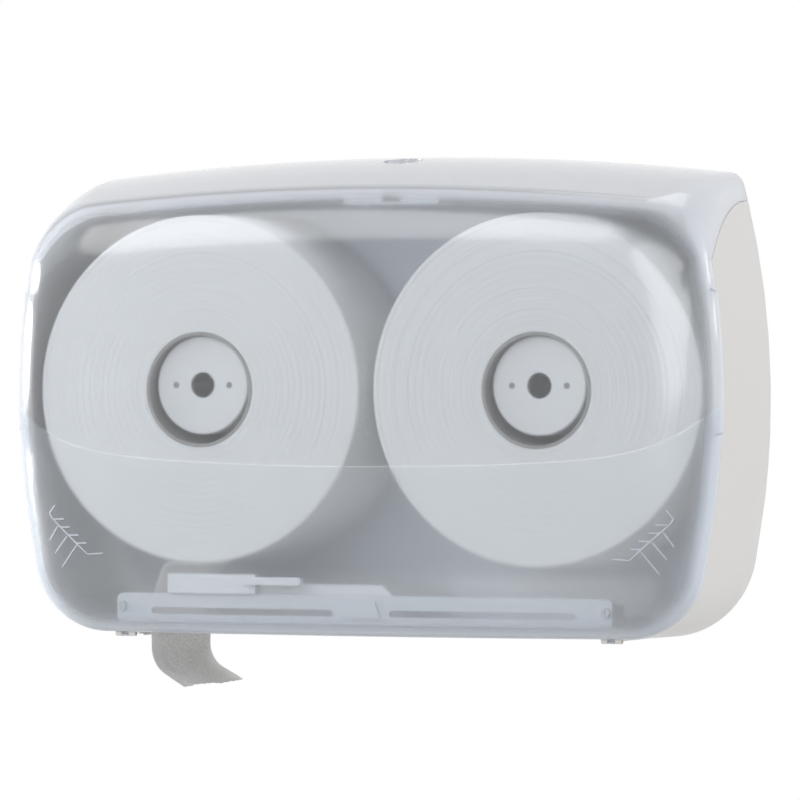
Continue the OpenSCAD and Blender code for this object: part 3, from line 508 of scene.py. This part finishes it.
# ---------------------------------------------------------------- light and floor
def lamp(name, at, size, watts):
    data = bpy.data.lights.new(name, "AREA")
    data.shape, data.size, data.energy = "DISK", size, watts
    made = bpy.data.objects.new(name, data)
    turn = (TARGET - Vector(at)).to_track_quat("-Z", "Y").to_matrix().to_4x4()
    made.matrix_world = Matrix.Translation(at) @ turn
    bpy.context.scene.collection.objects.link(made)


def white_world():
    """A world that looks white, also in and through the cover, but lights surfaces only dimly."""
    world = bpy.data.worlds.new("studio")
    bpy.context.scene.world = world
    world.use_nodes = True
    tree = world.node_tree

    def maths(operation, *values):
        made = tree.nodes.new("ShaderNodeMath")
        made.operation = operation
        for socket, value in zip(made.inputs, values):
            if isinstance(value, float):
                socket.default_value = value
            else:
                tree.links.new(value, socket)
        return made.outputs[0]

    rays = tree.nodes.new("ShaderNodeLightPath").outputs
    before_diffuse = maths("LESS_THAN", rays["Diffuse Depth"], 0.5)
    bent = maths("MAXIMUM", rays["Is Transmission Ray"], rays["Is Glossy Ray"])
    seen = maths("MAXIMUM", rays["Is Camera Ray"], maths("MULTIPLY", before_diffuse, bent))
    strength = tree.nodes.new("ShaderNodeMix")
    strength.inputs[2].default_value, strength.inputs[3].default_value = 0.33, 1.0
    tree.links.new(seen, strength.inputs[0])
    shine = tree.nodes["Background"]
    shine.inputs["Color"].default_value = (1, 1, 1, 1)
    tree.links.new(strength.outputs[0], shine.inputs["Strength"])


def studio():
    white_world()
    lamp("key", (-1.6, -2.8, 1.6), 1.6, 20)
    lamp("side", (2.9, 0.6, 1.0), 1.4, 34)
    lamp("front", (0.2, -3.2, 0.7), 1.6, 16)
    lamp("left", (-3.0, -0.6, 0.3), 1.2, 50)
    lamp("top", (0.0, 1.0, 2.6), 1.6, 9)

    work = bmesh.new()
    bmesh.ops.create_circle(work, cap_ends=True, segments=96, radius=1.9,
                            matrix=Matrix.Translation((0, -0.2, -0.9)))
    floor = placed("floor", work)
    pale = Finish("pale floor", roughness=0.8)
    pale.set(Base_Color=pale.colour(pale.noise(3), (0.80, 0.80, 0.80), (0.84, 0.84, 0.84)))
    floor.data.materials.append(pale.material)
    bpy.context.scene.view_settings.view_transform = "Standard"


# ---------------------------------------------------------------- the whole dispenser
SHELL_SHARP = 38

camera()
studio()

frosted_plastic = cover_plastic("frosted cover plastic", 0.04)
rib_plastic = cover_plastic("rib plastic", 0.55)
tissue = roll_paper()

finished("rear_shell_body", merged_copy("rear_shell"), "case", shell_plastic(), ("rear_shell",),
         SHELL_SHARP)
cover_work = merged_copy("front_cover")
cover_surface = BVHTree.FromBMesh(cover_work)
finished("frosted_cover_body", cover_work, "cover", frosted_plastic, ("front_cover",),
         SHELL_SHARP)
for side in (-1, 1):
    rib_figure(side, cover_surface, rib_plastic)
    wound_roll(side, tissue)
paper_tail(tail_tissue())

dress(drawn_steel(), "hinge_pin_left", "hinge_pin_right", "rail_screws", "guide_screws", "tear_bar_left",
      "tear_bar_right", "tear_bar_screws", "hub_bolt_left", "hub_bolt_right", "strike_screws",
      "lock_cam", "cam_screw")
dress(dark_rivet(), "hub_rivets_left", "hub_rivets_right")
dress(moulded("rail plastic", (0.70, 0.72, 0.75), (0.77, 0.79, 0.81)),
      "outlet_rail", "rear_guide", "lock_strike")
dress(moulded("slider plastic", (0.80, 0.81, 0.82), (0.86, 0.87, 0.88)),
      "selector_plate", "selector_carriage", "selector_tab")
dress(moulded("hub plastic", (0.80, 0.81, 0.82), (0.87, 0.87, 0.87), 0.45),
      "hub_drum_left", "hub_drum_right", "hub_face_left", "hub_face_right")
dress(plated_lock(), "lock_body", "lock_nut", "lock_barrel")
dress(soft_rubber(), "top_bumper_left", "top_bumper_right")
dress(core_board(), "core_left", "core_right")
